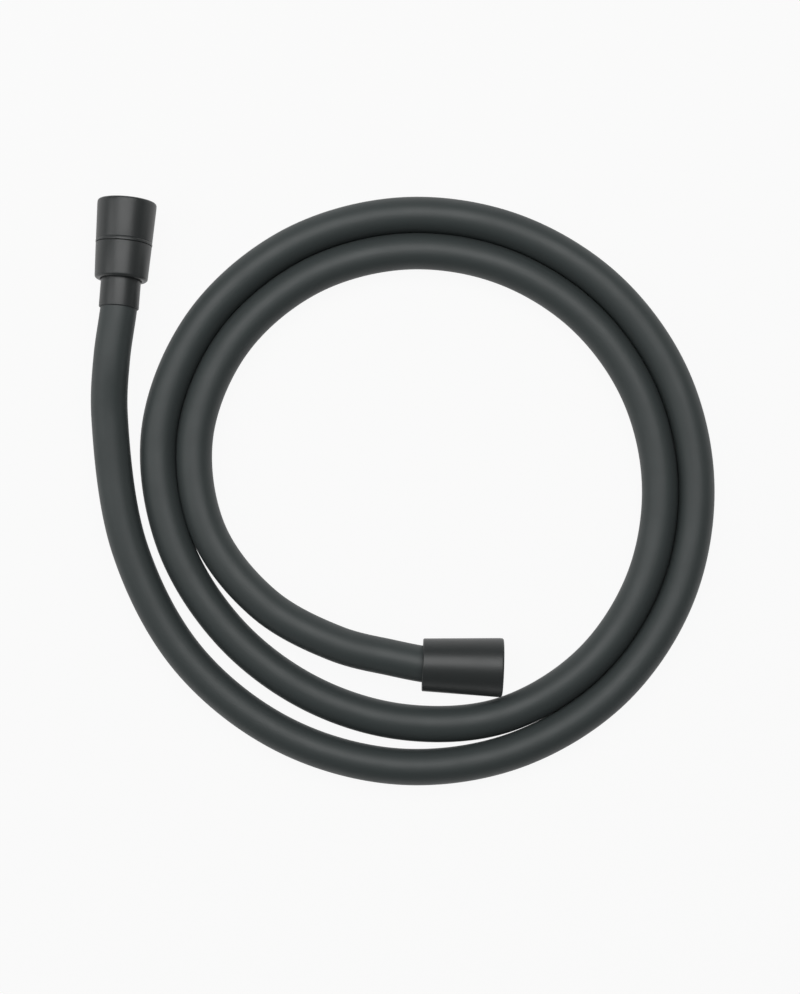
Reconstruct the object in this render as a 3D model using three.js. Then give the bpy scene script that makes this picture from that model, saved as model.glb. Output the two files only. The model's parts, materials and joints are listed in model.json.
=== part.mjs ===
// A smooth 1.6 m shower hose, lying in flat loops on a table.
//
// One end carries a twist-free swivel: a threaded nut turns on a flanged spigot, and the
// spigot turns in a housing that is fixed to the hose, sealed by two O-rings. The other
// end carries a plain cone nut that turns on a flanged hose tail. A thin ferrule holds the
// hose on the barbs of each stem.
//
// Millimetres, +Z up. The hose and both fittings lie on the plane Z = 0, and the origin
// is on it, midway between the outer limits of the two end fittings.

import * as THREE from "three";

// The gap that pieces keep where they meet or run in each other.
const clearance = 0.3;

// Hose
const hoseDiameter = 14.5;
const hoseBore = 9.4;
const hoseSides = 12;

// The cone that both end fittings share, and the half-inch pipe thread in its mouth.
const mouthDiameter = 23.6;
const backDiameter = 21.0;
const coneLength = 32.0;
const threadMajor = 20.955;
const threadMinor = 18.631;
const reliefDiameter = 20.8;
const mouthRounding = 0.8;
const mouthLead = 0.7;
const backRounding = 0.5;

// Swivel end, lengths from the mouth. It stops a little short of the whole cone.
const swivelLength = 31.6;
const swivelNutLength = 17.1;
const partingGap = 0.4;
const partingChamfer = 0.15;
const rimWidth = 0.75;
const rimRise = 0.1;
const rimGrooveWidth = 0.7;
const rimGrooveDepth = 0.15;
const swivelSeatDepth = 7.2;
const collarSleeve = 1.0;
const collarTop = 0.9;
const collarRounding = 1.3;
const housingWall = 1.55;
const housingLength = 10.6;
const housingEndWall = 2.0;
const snapGrooveDepth = 1.1;
const snapRingThickness = 1.0;
const snapRingWidth = 1.8;
const snapRingOpening = 30;
const oRingGrooveDepth = 1.7;
const oRingGrooveWidth = 2.0;
const oRingLand = 0.6;
const spigotWall = 0.9;
const spigotTip = 0.9;

// Cone nut end, lengths from the mouth
const coneSeatDepth = 9.0;
const shoulderLength = 2.3;
const shoulderDiameter = 13.2;

// Sealing washers, flanges, stems and ferrules
const washerThickness = 2.0;
const washerDiameter = 18.2;
const washerHole = 11.0;
const flangeDiameter = 18.3;
const flangeThickness = 1.8;
const stemBore = 6.8;
const barbCount = 3;
const barbHeight = 0.3;
const barbPitch = 3.4;
const stemLength = 12.0;
const ferruleWall = 0.35;
const ferruleLength = 13.2;
const ferruleLip = 0.3;

const turnedSegments = 32;
const ringSegments = 24;

// The plan is drawn for a hose of this diameter, and it grows and shrinks with the hose, so
// that neighbouring turns always lie side by side.
const planDiameter = 14.5;

// How the fittings lie: the middle of each mouth in plan, the way from it to the hose, and how
// steeply the fitting climbs that way. Both rest on the rim of their mouth, and the stiff hose
// holds their other end up.
const swivelMouth = { x: -68.6, y: 97.86, heading: 266.1, climb: 5 };
const coneMouth = { x: 80.8, y: -87.4, heading: 177.9, climb: 0 };

// The hose's route. The loops run clockwise round one middle, with a point every 24
// degrees, given by its radius. The first row starts next to the cone nut at 120 degrees,
// and each row is one turn.
const loopMiddle = { x: 51.1, y: -14.79 };
const firstBearing = 120;
const bearingStep = 24;
const loopRadii = [
  [73.0, 80.8, 89.4, 95.1, 96.6, 95.7, 93.9, 92.5, 91.9, 91.9, 92.5, 94.2, 95.9, 96.4, 95.2],
  [95.6, 98.8, 104.6, 109.8, 111.2, 110.3, 108.5, 107.1, 106.6, 106.8, 107.6, 109.0, 110.7, 112.0, 113.1],
  [115.2, 118.3, 121.7, 129.5],
];
const coneLead = { x: 36.5, y: -83.5 };
const swivelLead = { x: -74.3, y: 35.11 };

// Each fitting holds the hose's end up off the table. These are the shares of that height
// that are left at the points of the route, going away from the fitting.
const liftAfterCone = [0.8, 0.58, 0.33, 0.12, 0.01];
const liftBeforeSwivel = [1.0, 0.58, 0.2, 0.03];

// Worked out from those
const mouthRadius = mouthDiameter / 2;
const backRadius = backDiameter / 2;
const coneAngle = Math.atan((mouthRadius - backRadius) / coneLength);
const threadRadius = (threadMajor + threadMinor) / 4;
const collarInnerRadius = backRadius - collarSleeve;
const housingRadius = collarInnerRadius - clearance;
const snapRadius = housingRadius - housingWall;
const snapRingOuter = snapRadius - clearance;
const snapRingInner = snapRingOuter - snapRingWidth;
const boreRadius = snapRadius - snapGrooveDepth;
const barrelRadius = boreRadius - clearance;
const oRingRootRadius = barrelRadius - oRingGrooveDepth;
const spigotBoreRadius = oRingRootRadius - spigotWall;
const stemRadius = hoseBore / 2 - clearance - barbHeight;
const ferruleRadius = hoseDiameter / 2 + clearance + ferruleWall;
const nutBoreRadius = ferruleRadius + clearance;
const collarStart = swivelNutLength + partingGap;
const housingStart = collarStart + collarTop + clearance;
const housingEnd = housingStart + housingLength;
const swivelHoseEnd = housingEnd + clearance;
const swivelFlangeStart = swivelSeatDepth + washerThickness + clearance;
const swivelFlangeEnd = swivelFlangeStart + flangeThickness;
const frontGroove = housingStart + oRingLand;
const rearGroove = frontGroove + oRingGrooveWidth + oRingLand;
const snapGroove = rearGroove + oRingGrooveWidth + oRingLand;
const snapGrooveWidth = snapRingThickness + 2 * clearance;
const spigotEnd = snapGroove + snapGrooveWidth + spigotTip;
const coneFlangeStart = coneSeatDepth + washerThickness + clearance;
const coneFlangeEnd = coneFlangeStart + flangeThickness;
const coneShoulder = coneFlangeEnd + clearance;
const coneTailEnd = coneFlangeEnd + shoulderLength;
const coneHoseEnd = coneTailEnd + clearance;

const planScale = hoseDiameter / planDiameter;

const coneRadius = (along) => mouthRadius - along * Math.tan(coneAngle);

// Materials
const mattHose = new THREE.MeshStandardMaterial({ color: 0x3b4040, roughness: 0.55 });
const mattCoat = new THREE.MeshStandardMaterial({ color: 0x404343, roughness: 0.48 });
const brass = new THREE.MeshStandardMaterial({ color: 0xb08d4f, roughness: 0.35, metalness: 1 });
const springSteel = new THREE.MeshStandardMaterial({ color: 0x9a9da0, roughness: 0.3, metalness: 1 });
const blackRubber = new THREE.MeshStandardMaterial({ color: 0x17191a, roughness: 0.8 });

const hose = new THREE.Group();

// A fitting's own frame: its middle line is +Y, which runs from the mouth to the hose and
// climbs by an angle. Its mouth's rim rests on the table.
function fittingFrame({ x, y, heading, climb }) {
  const frame = new THREE.Group();
  const plan = THREE.MathUtils.degToRad(heading);
  const rise = THREE.MathUtils.degToRad(climb);
  const along = new THREE.Vector3(
    Math.cos(plan) * Math.cos(rise),
    Math.sin(plan) * Math.cos(rise),
    Math.sin(rise),
  );
  const side = new THREE.Vector3().crossVectors(along, new THREE.Vector3(0, 0, 1)).normalize();
  const up = new THREE.Vector3().crossVectors(side, along);
  frame.quaternion.setFromRotationMatrix(new THREE.Matrix4().makeBasis(side, along, up));
  const rimRadius = coneRadius(mouthRounding) - mouthRounding;
  const height = rimRadius * Math.cos(rise) + mouthRounding * (1 - Math.sin(rise));
  frame.position.set(x * planScale, y * planScale, height);
  frame.updateMatrix();
  hose.add(frame);
  return frame;
}

function place(parent, name, geometry, material) {
  const mesh = new THREE.Mesh(geometry, material);
  mesh.name = name;
  parent.add(mesh);
  return mesh;
}

// A turned piece, from [radius, distance from the mouth] pairs that run up the outside and
// back down the bore. The outline is closed here.
function turned(outline, segments = turnedSegments) {
  const points = [...outline, outline[0]].map(([r, along]) => new THREE.Vector2(r, along));
  return new THREE.LatheGeometry(points, segments);
}

// The points of a quarter round on a turned piece, from angle a to angle b in degrees.
function rounding(r, along, size, a, b, steps = 3) {
  return Array.from({ length: steps + 1 }, (_, i) => {
    const t = THREE.MathUtils.degToRad(a + ((b - a) * i) / steps);
    return [r + size * Math.cos(t), along + size * Math.sin(t)];
  });
}

const roundedMouth = rounding(
  coneRadius(mouthRounding) - mouthRounding,
  mouthRounding,
  mouthRounding,
  -90,
  0,
);

// The bore of a nut's mouth, from the depth of its shoulder back to the mouth.
const threadedMouth = (shoulder, threadEnd) => [
  [reliefDiameter / 2, shoulder],
  [reliefDiameter / 2, threadEnd],
  [threadRadius, threadEnd - (reliefDiameter / 2 - threadRadius)],
  [threadRadius, mouthLead],
  [threadRadius + mouthLead, 0],
];

function swivelNut() {
  const rim = swivelNutLength - rimWidth;
  const rimGroove = rim - rimGrooveWidth;
  const shoulder = swivelFlangeEnd + clearance;
  return turned([
    ...roundedMouth,
    [coneRadius(rimGroove), rimGroove],
    [coneRadius(rimGroove) - rimGrooveDepth, rimGroove + rimGrooveWidth / 2],
    [coneRadius(rim) + rimRise, rim],
    [coneRadius(swivelNutLength) + rimRise, swivelNutLength],
    [boreRadius, swivelNutLength],
    [boreRadius, shoulder],
    ...threadedMouth(shoulder, swivelFlangeStart),
  ]);
}

function coneNut() {
  return turned([
    ...roundedMouth,
    ...rounding(backRadius - backRounding, coneLength - backRounding, backRounding, 0, 90),
    [nutBoreRadius + backRounding, coneLength],
    [nutBoreRadius, coneLength - backRounding],
    [nutBoreRadius, coneShoulder],
    ...threadedMouth(coneShoulder, coneFlangeStart),
  ]);
}

function washer(start) {
  return turned([
    [washerDiameter / 2, start],
    [washerDiameter / 2, start + washerThickness],
    [washerHole / 2, start + washerThickness],
    [washerHole / 2, start],
  ]);
}

// One groove round the outside of the spigot, of the given width and root radius.
const groove = (start, width, root) => [
  [barrelRadius, start],
  [root, start],
  [root, start + width],
  [barrelRadius, start + width],
];

function spigot() {
  return turned([
    [flangeDiameter / 2, swivelFlangeStart],
    [flangeDiameter / 2, swivelFlangeEnd],
    [barrelRadius, swivelFlangeEnd],
    ...groove(frontGroove, oRingGrooveWidth, oRingRootRadius),
    ...groove(rearGroove, oRingGrooveWidth, oRingRootRadius),
    ...groove(snapGroove, snapGrooveWidth, snapRingInner - clearance),
    [barrelRadius, spigotEnd],
    [spigotBoreRadius, spigotEnd],
    [spigotBoreRadius, swivelFlangeStart],
  ]);
}

// An O-ring that fills its groove up to the clearances.
function oRing(grooveStart) {
  const inner = oRingRootRadius + clearance;
  const section = (barrelRadius - inner) / 2;
  const middle = grooveStart + oRingGrooveWidth / 2;
  const round = rounding(inner + section, middle, section, 0, 315, 7);
  return turned(round, ringSegments);
}

// A flat ring with an opening, cut from plate and lying across the middle line.
function snapRing() {
  const half = THREE.MathUtils.degToRad(snapRingOpening / 2);
  const outline = new THREE.Shape();
  outline.absarc(0, 0, snapRingOuter, half, 2 * Math.PI - half, false);
  outline.absarc(0, 0, snapRingInner, 2 * Math.PI - half, half, true);
  const plate = new THREE.ExtrudeGeometry(outline, {
    depth: snapRingThickness,
    curveSegments: ringSegments,
    bevelEnabled: false,
  });
  return plate.rotateX(-Math.PI / 2).translate(0, snapGroove + clearance, 0);
}

// The barbs of a stem that starts at a given place, from its first barb to its end. Each
// is a ramp that faces the hose's end and a step that holds it.
const barbs = (start) =>
  Array.from({ length: barbCount }, (_, i) => {
    const step = start + stemLength - (barbCount - i) * barbPitch;
    return [
      [stemRadius, step],
      [stemRadius + barbHeight, step],
      [stemRadius + barbHeight, step + barbHeight],
    ];
  }).flat();

const stem = (start) => [
  ...barbs(start),
  [stemRadius, start + stemLength],
  [stemBore / 2, start + stemLength],
];

function swivelHousing() {
  const boreEnd = housingEnd - housingEndWall;
  return turned([
    [housingRadius, housingStart],
    [housingRadius, housingEnd],
    [stemRadius, housingEnd],
    ...stem(housingEnd),
    [stemBore / 2, boreEnd],
    [boreRadius, boreEnd],
    [boreRadius, snapGroove + snapGrooveWidth],
    [snapRadius, snapGroove + snapGrooveWidth],
    [snapRadius, snapGroove],
    [boreRadius, snapGroove],
    [boreRadius, housingStart],
  ]);
}

function swivelCollar() {
  const collarLip = coneRadius(swivelLength) - collarRounding;
  return turned([
    [coneRadius(collarStart) - partingChamfer, collarStart],
    [coneRadius(collarStart), collarStart + partingChamfer],
    ...rounding(collarLip, swivelLength - collarRounding, collarRounding, 0, 90),
    [collarLip, swivelHoseEnd],
    [collarInnerRadius, swivelHoseEnd],
    [collarInnerRadius, collarStart + collarTop],
    [boreRadius + clearance, collarStart + collarTop],
    [boreRadius + clearance, collarStart],
  ]);
}

function coneTail() {
  return turned([
    [flangeDiameter / 2, coneFlangeStart],
    [flangeDiameter / 2, coneFlangeEnd],
    [shoulderDiameter / 2, coneFlangeEnd],
    [shoulderDiameter / 2, coneTailEnd],
    [stemRadius, coneTailEnd],
    ...stem(coneTailEnd),
    [stemBore / 2, coneFlangeStart],
  ]);
}

// A crimped sleeve from the hose's end on, with a rounded lip where the hose leaves it.
function ferrule(start) {
  const inner = ferruleRadius - ferruleWall;
  const end = start + ferruleLength;
  return turned([
    [ferruleRadius, start],
    [ferruleRadius, end - ferruleLip],
    [ferruleRadius - ferruleLip, end],
    [inner, end],
    [inner, start],
  ]);
}

// Swivel end
const swivelEnd = fittingFrame(swivelMouth);
place(swivelEnd, "swivel_nut", swivelNut(), mattCoat);
place(swivelEnd, "swivel_washer", washer(swivelSeatDepth), blackRubber);
place(swivelEnd, "swivel_spigot", spigot(), brass);
place(swivelEnd, "spigot_o_ring_front", oRing(frontGroove), blackRubber);
place(swivelEnd, "spigot_o_ring_rear", oRing(rearGroove), blackRubber);
place(swivelEnd, "snap_ring", snapRing(), springSteel);
place(swivelEnd, "swivel_collar", swivelCollar(), mattCoat);
place(swivelEnd, "swivel_housing", swivelHousing(), brass);
place(swivelEnd, "swivel_ferrule", ferrule(swivelHoseEnd), mattCoat);

// Cone nut end
const coneEnd = fittingFrame(coneMouth);
place(coneEnd, "cone_nut", coneNut(), mattCoat);
place(coneEnd, "cone_washer", washer(coneSeatDepth), blackRubber);
place(coneEnd, "cone_tail", coneTail(), brass);
place(coneEnd, "cone_ferrule", ferrule(coneHoseEnd), mattCoat);

// The curve down the middle of the hose. Its steps divide the stretch between two points
// evenly, so those of neighbouring turns lie side by side and their flats stay parallel.
class HoseRoute extends THREE.CatmullRomCurve3 {
  getUtoTmapping(u) {
    return u;
  }
}

// The places on a fitting's middle line where the hose lies straight in its ferrule.
function straightRun(frame, hoseEnd) {
  return [0, ferruleLength / 2, ferruleLength].map((run) =>
    new THREE.Vector3(0, hoseEnd + run, 0).applyMatrix4(frame.matrix),
  );
}

// A point of the route in plan, at the height of a hose that lies on the table.
const planPoint = ({ x, y }) => new THREE.Vector3(x * planScale, y * planScale, hoseDiameter / 2);

function loopPoints() {
  return loopRadii.flat().map((radius, i) => {
    const bearing = THREE.MathUtils.degToRad(firstBearing + i * bearingStep);
    return planPoint({
      x: loopMiddle.x + radius * Math.cos(bearing),
      y: loopMiddle.y - radius * Math.sin(bearing),
    });
  });
}

// Lifts the first of some points by shares of the height of the hose in a fitting.
function lift(points, shares, fittingEnd) {
  const height = fittingEnd.z - hoseDiameter / 2;
  shares.forEach((share, i) => {
    points[i].z += share * height;
  });
}

function hoseRoute() {
  const start = straightRun(coneEnd, coneHoseEnd);
  const end = straightRun(swivelEnd, swivelHoseEnd);
  const onTable = [planPoint(coneLead), ...loopPoints(), planPoint(swivelLead)];
  lift(onTable, liftAfterCone, start.at(-1));
  lift(onTable.toReversed(), liftBeforeSwivel, end.at(-1));
  return new HoseRoute([...start, ...onTable, ...end.reverse()]);
}

// A many-sided ring. The outside's corners and the bore's flats are at the true size.
function hoseSection() {
  const corners = (radius) =>
    Array.from({ length: hoseSides }, (_, i) => {
      const t = (2 * Math.PI * i) / hoseSides;
      return new THREE.Vector2(radius * Math.cos(t), radius * Math.sin(t));
    });
  const section = new THREE.Shape(corners(hoseDiameter / 2));
  const boreCorner = hoseBore / 2 / Math.cos(Math.PI / hoseSides);
  section.holes.push(new THREE.Path(corners(boreCorner)));
  return section;
}

const route = hoseRoute();
place(
  hose,
  "hose_tube",
  new THREE.ExtrudeGeometry(hoseSection(), {
    steps: 2 * (route.points.length - 1),
    extrudePath: route,
  }),
  mattHose,
);

export default hose;
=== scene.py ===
"""Looks of a smooth 1.6 m shower hose with a swivel fitting and a plain cone nut.

The hose lies in flat loops on a pale floor and is seen from straight above. Every size is
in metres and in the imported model's own frame: +Z up, the floor at zero.
"""

import json
import logging
import math
from dataclasses import dataclass, field
from enum import Enum
from typing import Optional, Sequence

import bmesh
import bpy
from mathutils import Matrix, Vector

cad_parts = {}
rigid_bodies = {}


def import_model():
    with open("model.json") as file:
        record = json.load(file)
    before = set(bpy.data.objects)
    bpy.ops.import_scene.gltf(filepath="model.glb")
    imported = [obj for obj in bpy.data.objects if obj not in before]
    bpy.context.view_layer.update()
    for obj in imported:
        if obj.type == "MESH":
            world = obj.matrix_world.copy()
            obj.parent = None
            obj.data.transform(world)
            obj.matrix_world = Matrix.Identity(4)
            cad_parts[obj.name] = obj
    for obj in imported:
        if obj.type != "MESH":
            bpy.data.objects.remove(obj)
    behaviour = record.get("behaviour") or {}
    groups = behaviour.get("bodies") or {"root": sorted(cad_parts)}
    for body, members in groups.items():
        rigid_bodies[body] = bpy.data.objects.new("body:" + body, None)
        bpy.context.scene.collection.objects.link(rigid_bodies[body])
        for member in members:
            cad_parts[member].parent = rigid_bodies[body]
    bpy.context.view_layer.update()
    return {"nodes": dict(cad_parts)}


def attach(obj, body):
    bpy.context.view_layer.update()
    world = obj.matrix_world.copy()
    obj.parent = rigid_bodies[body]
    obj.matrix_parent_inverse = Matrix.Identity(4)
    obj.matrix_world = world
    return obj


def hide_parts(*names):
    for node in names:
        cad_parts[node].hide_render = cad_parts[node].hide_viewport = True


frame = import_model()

log = logging.getLogger("shower_hose")

MM = 0.001

# The image's height in pixels, and the camera's sensor in millimetres.
IMAGE_HEIGHT = 994
SENSOR = 36.0

UP = Vector((0, 0, 1))
WHITE = (1.0, 1.0, 1.0, 1.0)
HOSE_UV = "hose_uv"

# Degrees between two faces, above which their edge stays sharp.
SHARP = 35.0

# Sides of the turned pieces: the nuts and the collar, the other metal ones, and the seals.
NUT_SIDES = 128
METAL_SIDES = 96
SEAL_SIDES = 80

# The Mix node's colour sockets go by index, because its number sockets have the same names.
MIX_A = 6
MIX_B = 7
MIX_RESULT = 2

Outline = list[tuple[float, float]]
Socket = bpy.types.NodeSocket
Relief = list[tuple[Socket, float]]


class Slot(Enum):
    """The record's material slots."""

    HOSE = "hose"
    COATED = "coated_brass"
    BRASS = "brass"
    RUBBER = "rubber"
    SPRING = "spring_steel"


# Selection and mesh helpers


def select_only(*objects: bpy.types.Object) -> None:
    """Deselects everything, then selects some objects and makes the first one active.

    Args:
        objects: The objects to select.
    """
    for other in bpy.context.view_layer.objects:
        other.select_set(False)
    for obj in objects:
        obj.select_set(True)
    if objects:
        bpy.context.view_layer.objects.active = objects[0]


def apply_modifier(obj: bpy.types.Object, kind: str, **settings: object) -> None:
    """Adds a modifier to an object and applies it.

    Args:
        obj: The object that gets it.
        kind: The modifier's type.
        settings: Its properties.
    """
    select_only(obj)
    modifier = obj.modifiers.new(kind.title(), kind)
    for key, value in settings.items():
        setattr(modifier, key, value)
    bpy.ops.object.modifier_apply(modifier=modifier.name)


def smooth(obj: bpy.types.Object, degrees: float = SHARP) -> None:
    """Shades an object smooth, apart from its edges that are sharper than an angle."""
    select_only(obj)
    bpy.ops.object.shade_smooth_by_angle(angle=math.radians(degrees))


def recalculate_normals(obj: bpy.types.Object) -> None:
    """Merges an object's doubles and turns its faces outwards.

    Args:
        obj: The object.
    """
    select_only(obj)
    bpy.ops.object.mode_set(mode="EDIT")
    bpy.ops.mesh.select_all(action="SELECT")
    bpy.ops.mesh.remove_doubles(threshold=MM / 1000)
    bpy.ops.mesh.normals_make_consistent(inside=False)
    bpy.ops.object.mode_set(mode="OBJECT")


def put(obj: bpy.types.Object, place: Matrix) -> None:
    """Moves an object to its place and stores that place in its mesh.

    Args:
        obj: The object, made at the origin.
        place: Where it goes.
    """
    obj.matrix_world = place
    select_only(obj)
    bpy.ops.object.transform_apply(location=True, rotation=True, scale=True)


def turn(
    name: str, outline: Outline, segments: int = METAL_SIDES, edge: float = 0.0
) -> bpy.types.Object:
    """Makes a turned piece round local Z: a circle is extruded ring by ring, then closed.

    Args:
        name: The piece's name.
        outline: Pairs of radius and place along the axis, round the section.
        segments: How many sides the piece has.
        edge: The size of a small bevel on its sharp edges, or nothing.

    Returns:
        The closed piece, at the origin.
    """
    radius, along = outline[0]
    select_only()
    bpy.ops.mesh.primitive_circle_add(vertices=segments, radius=radius, fill_type="NOTHING")
    piece = bpy.context.active_object
    piece.name = name
    piece.data.name = name
    bpy.ops.object.mode_set(mode="EDIT")
    bpy.ops.mesh.select_all(action="SELECT")
    bpy.ops.transform.translate(value=(0, 0, along))
    for next_radius, next_along in outline[1:]:
        bpy.ops.mesh.extrude_region_move(
            TRANSFORM_OT_translate={"value": (0, 0, next_along - along)}
        )
        scale = next_radius / radius
        bpy.ops.transform.resize(value=(scale, scale, 1), center_override=(0, 0, next_along))
        radius, along = next_radius, next_along
    bpy.ops.mesh.select_all(action="DESELECT")
    bpy.ops.mesh.select_non_manifold()
    bpy.ops.mesh.bridge_edge_loops()
    bpy.ops.object.mode_set(mode="OBJECT")
    recalculate_normals(piece)
    if edge:
        apply_modifier(
            piece,
            "BEVEL",
            width=edge,
            segments=3,
            limit_method="ANGLE",
            angle_limit=math.radians(SHARP),
            harden_normals=False,
        )
    smooth(piece)
    return piece


def quarter(
    radius: float, along: float, size: float, start: float, end: float, steps: int = 6
) -> Outline:
    """The points of a rounding on a turned piece.

    Args:
        radius: The radius at which its centre lies.
        along: Its centre's place along the axis.
        size: The rounding's own radius.
        start: Its first angle in degrees, from outwards towards the hose.
        end: Its last angle.
        steps: How many stretches it has.

    Returns:
        Pairs of radius and place along the axis.
    """
    angles = [math.radians(start + (end - start) * i / steps) for i in range(steps + 1)]
    return [(radius + size * math.cos(a), along + size * math.sin(a)) for a in angles]


# Materials


def srgb(code: str) -> tuple[float, float, float, float]:
    """Turns an sRGB hex value into a linear colour.

    Args:
        code: The value, such as #808080.

    Returns:
        Red, green, blue and full alpha.
    """
    values = [int(code[i : i + 2], 16) / 255 for i in (1, 3, 5)]
    linear = [v / 12.92 if v <= 0.04045 else ((v + 0.055) / 1.055) ** 2.4 for v in values]
    return (linear[0], linear[1], linear[2], 1.0)


def add(
    material: bpy.types.Material | bpy.types.World,
    kind: str,
    links: Optional[dict[str | int, Socket]] = None,
    **settings: object,
) -> bpy.types.Node:
    """Adds a node to a material or a world.

    Args:
        material: The material or world.
        kind: The node's type, without its ShaderNode prefix.
        links: Sockets that feed its inputs, by input name or index.
        settings: Values of its inputs where one has that name, with _ for a space, and
            otherwise of its properties.

    Returns:
        The new node.
    """
    tree = material.node_tree
    node = tree.nodes.new("ShaderNode" + kind)
    for key, value in settings.items():
        if hasattr(node, key):
            setattr(node, key, value)
    for key, value in settings.items():
        if not hasattr(node, key):
            node.inputs[key.replace("_", " ")].default_value = value
    for key, socket in (links or {}).items():
        tree.links.new(socket, node.inputs[key])
    return node


@dataclass(frozen=True)
class Finish:
    """A dielectric or metal surface with a fine grain and slight unevenness.

    Attributes:
        title: The material's common name and how it was made.
        colour: Its sRGB colour.
        colour_uneven: The same where it is a little darker or lighter.
        roughness: Its middle roughness.
        roughness_spread: How far the roughness wanders to either side.
        metallic: 1 for bare metal.
        ior: Its index of refraction.
        grain: The size of its surface grain.
        grain_depth: How high the grain stands.
        patch: The size of its slow unevenness.
    """

    title: str
    colour: str
    colour_uneven: str
    roughness: float
    roughness_spread: float = 0.04
    metallic: float = 0.0
    ior: float = 1.5
    grain: float = 0.5 * MM
    grain_depth: float = 0.008 * MM
    patch: float = 14 * MM

    def relief(self, material: bpy.types.Material, where: Socket) -> Relief:
        """Builds the surface's fine grain.

        Args:
            material: The material.
            where: The coordinates that it runs on, in metres.

        Returns:
            The layers of the relief, each a height and its depth, from coarse to fine.
        """
        grain = add(
            material,
            "TexNoise",
            {"Vector": where},
            Scale=1 / self.grain,
            Detail=3.0,
            Roughness=0.55,
        )
        return [(grain.outputs["Fac"], self.grain_depth)]

    def build(self) -> bpy.types.Material:
        """Builds the material.

        Returns:
            The material, with its colour, roughness and relief wired to one shader.
        """
        material = bpy.data.materials.new(self.title)
        material.use_nodes = True
        material.diffuse_color = srgb(self.colour)
        shader = material.node_tree.nodes["Principled BSDF"]
        where = add(material, "TexCoord").outputs["Object"]
        patches = add(
            material,
            "TexNoise",
            {"Vector": where},
            Scale=1 / self.patch,
            Detail=4.0,
            Roughness=0.5,
        ).outputs["Fac"]
        shade = add(material, "Mix", {"Factor": patches}, data_type="RGBA")
        shade.inputs[MIX_A].default_value = srgb(self.colour)
        shade.inputs[MIX_B].default_value = srgb(self.colour_uneven)
        gloss = add(
            material,
            "MapRange",
            {"Value": patches},
            From_Min=0.3,
            From_Max=0.7,
            To_Min=self.roughness - self.roughness_spread,
            To_Max=self.roughness + self.roughness_spread,
        )
        links = material.node_tree.links
        links.new(shade.outputs[MIX_RESULT], shader.inputs["Base Color"])
        links.new(gloss.outputs["Result"], shader.inputs["Roughness"])
        normal: dict[str, Socket] = {}
        for height, depth in self.relief(material, where):
            bump = add(material, "Bump", {"Height": height, **normal}, Strength=1.0, Distance=depth)
            normal = {"Normal": bump.outputs["Normal"]}
        links.new(normal["Normal"], shader.inputs["Normal"])
        shader.inputs["Metallic"].default_value = self.metallic
        shader.inputs["IOR"].default_value = self.ior
        return material


@dataclass(frozen=True)
class ExtrudedFinish(Finish):
    """A finish with long, faint die lines, which run along the hose in its own UV map.

    Attributes:
        line_width: How far apart the die lines are round the hose.
        line_length: How far a line goes before it fades.
        line_depth: How high they stand.
    """

    line_width: float = 1.2 * MM
    line_length: float = 90 * MM
    line_depth: float = 0.02 * MM

    def relief(self, material: bpy.types.Material, where: Socket) -> Relief:
        """Builds the die lines, with the grain on them.

        Args:
            material: The material.
            where: The grain's coordinates.

        Returns:
            The layers of the relief: the lines, then the grain.
        """
        uv = add(material, "UVMap", uv_map=HOSE_UV)
        stretched = add(
            material,
            "Mapping",
            {"Vector": uv.outputs["UV"]},
            Scale=(1 / self.line_length, 1 / self.line_width, 1.0),
        )
        lines = add(
            material, "TexNoise", {"Vector": stretched.outputs["Vector"]}, Scale=1.0, Detail=2.0
        )
        return [(lines.outputs["Fac"], self.line_depth), *super().relief(material, where)]


@dataclass(frozen=True)
class TurnedFinish(Finish):
    """A metal with the fine rings that a lathe tool leaves, in place of a grain.

    Attributes:
        feed: The distance between two rings.
        ring_depth: How deep they are.
        axis_angles: The turn that brings the piece's axis to Z.
        axis_shift: The shift, after that turn, that brings the mouth's middle to zero.
    """

    feed: float = 0.25 * MM
    ring_depth: float = 0.006 * MM
    axis_angles: tuple[float, float, float] = (0.0, 0.0, 0.0)
    axis_shift: tuple[float, float, float] = (0.0, 0.0, 0.0)

    def relief(self, material: bpy.types.Material, where: Socket) -> Relief:
        """Builds the tool's rings. A wave repeats every 2 pi / 20 of its coordinates.

        Args:
            material: The material.
            where: The coordinates that the rings run on, before they are turned.

        Returns:
            The relief's only layer, the rings.
        """
        turned_to_z = add(
            material,
            "Mapping",
            {"Vector": where},
            vector_type="POINT",
            Rotation=self.axis_angles,
            Location=self.axis_shift,
        )
        rings = add(
            material,
            "TexWave",
            {"Vector": turned_to_z.outputs["Vector"]},
            wave_type="RINGS",
            rings_direction="SPHERICAL",
            Scale=math.pi / (10 * self.feed),
            Distortion=0.3,
            Detail=1.0,
        )
        return [(rings.outputs["Fac"], self.ring_depth)]


# The hose


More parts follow.
